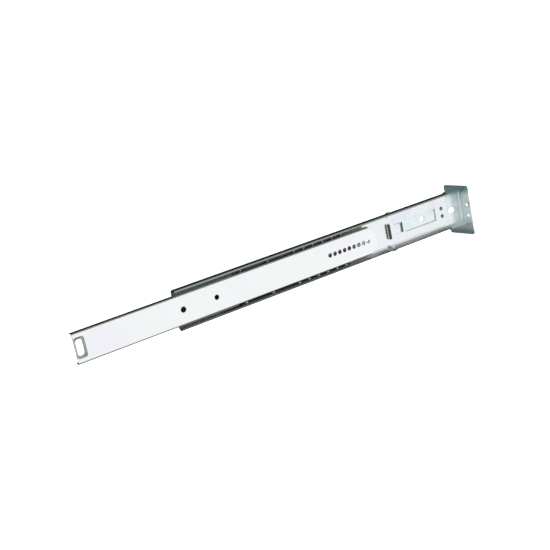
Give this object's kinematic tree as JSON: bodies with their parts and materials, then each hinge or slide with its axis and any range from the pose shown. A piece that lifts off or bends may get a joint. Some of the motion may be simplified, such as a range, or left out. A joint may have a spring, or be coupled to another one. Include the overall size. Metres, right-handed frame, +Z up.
{
  "type": "drawer slide",
  "caption": "Centre-mount drawer slide: a rolled steel channel with a rear screw bracket, and a narrower channel running in it on rows of caged balls.",
  "frame": {"origin": "back face of the rear bracket's screw plate, on the slide's centre line, level with the underside of the cabinet member", "axes": "+X is the way the drawer opens, along the channels; +Y is across the slide, to the left for someone looking out along +X; +Z is up, from the cabinet member towards the drawer"},
  "size_m": [0.5425, 0.0627, 0.043],
  "materials": {
    "zinc_plated_steel": "bright zinc plate, satin",
    "retainer_steel": "plain rolled strip",
    "ball_steel": "polished",
    "galvanised_steel": "passivated zinc, faintly blue"
  },
  "bodies": {
    "cabinet": {"cabinet_member": "zinc_plated_steel", "rear_bracket": "galvanised_steel", "bracket_rivet_left": "zinc_plated_steel", "bracket_rivet_right": "zinc_plated_steel"},
    "drawer": {"drawer_member": "zinc_plated_steel"},
    "retainer": {"ball_retainer": "retainer_steel", "left_ball_1": "ball_steel", "left_ball_2": "ball_steel", "left_ball_3": "ball_steel", "left_ball_4": "ball_steel", "left_ball_5": "ball_steel", "left_ball_6": "ball_steel", "left_ball_7": "ball_steel", "left_ball_8": "ball_steel", "right_ball_1": "ball_steel", "right_ball_2": "ball_steel", "right_ball_3": "ball_steel", "right_ball_4": "ball_steel", "right_ball_5": "ball_steel", "right_ball_6": "ball_steel", "right_ball_7": "ball_steel", "right_ball_8": "ball_steel"}
  },
  "joints": [
    {"name": "drawer_slide", "type": "slide", "parent": "cabinet", "child": "drawer", "axis": [1, 0, 0], "range_m": [-0.1215, 0.148]},
    {"name": "retainer_slide", "type": "slide", "parent": "cabinet", "child": "retainer", "axis": [1, 0, 0], "range_m": [-0.06075, 0.074]}
  ],
  "couplings": [
    {"joint": "retainer_slide", "follows": "drawer_slide", "ratio": 0.5}
  ]
}
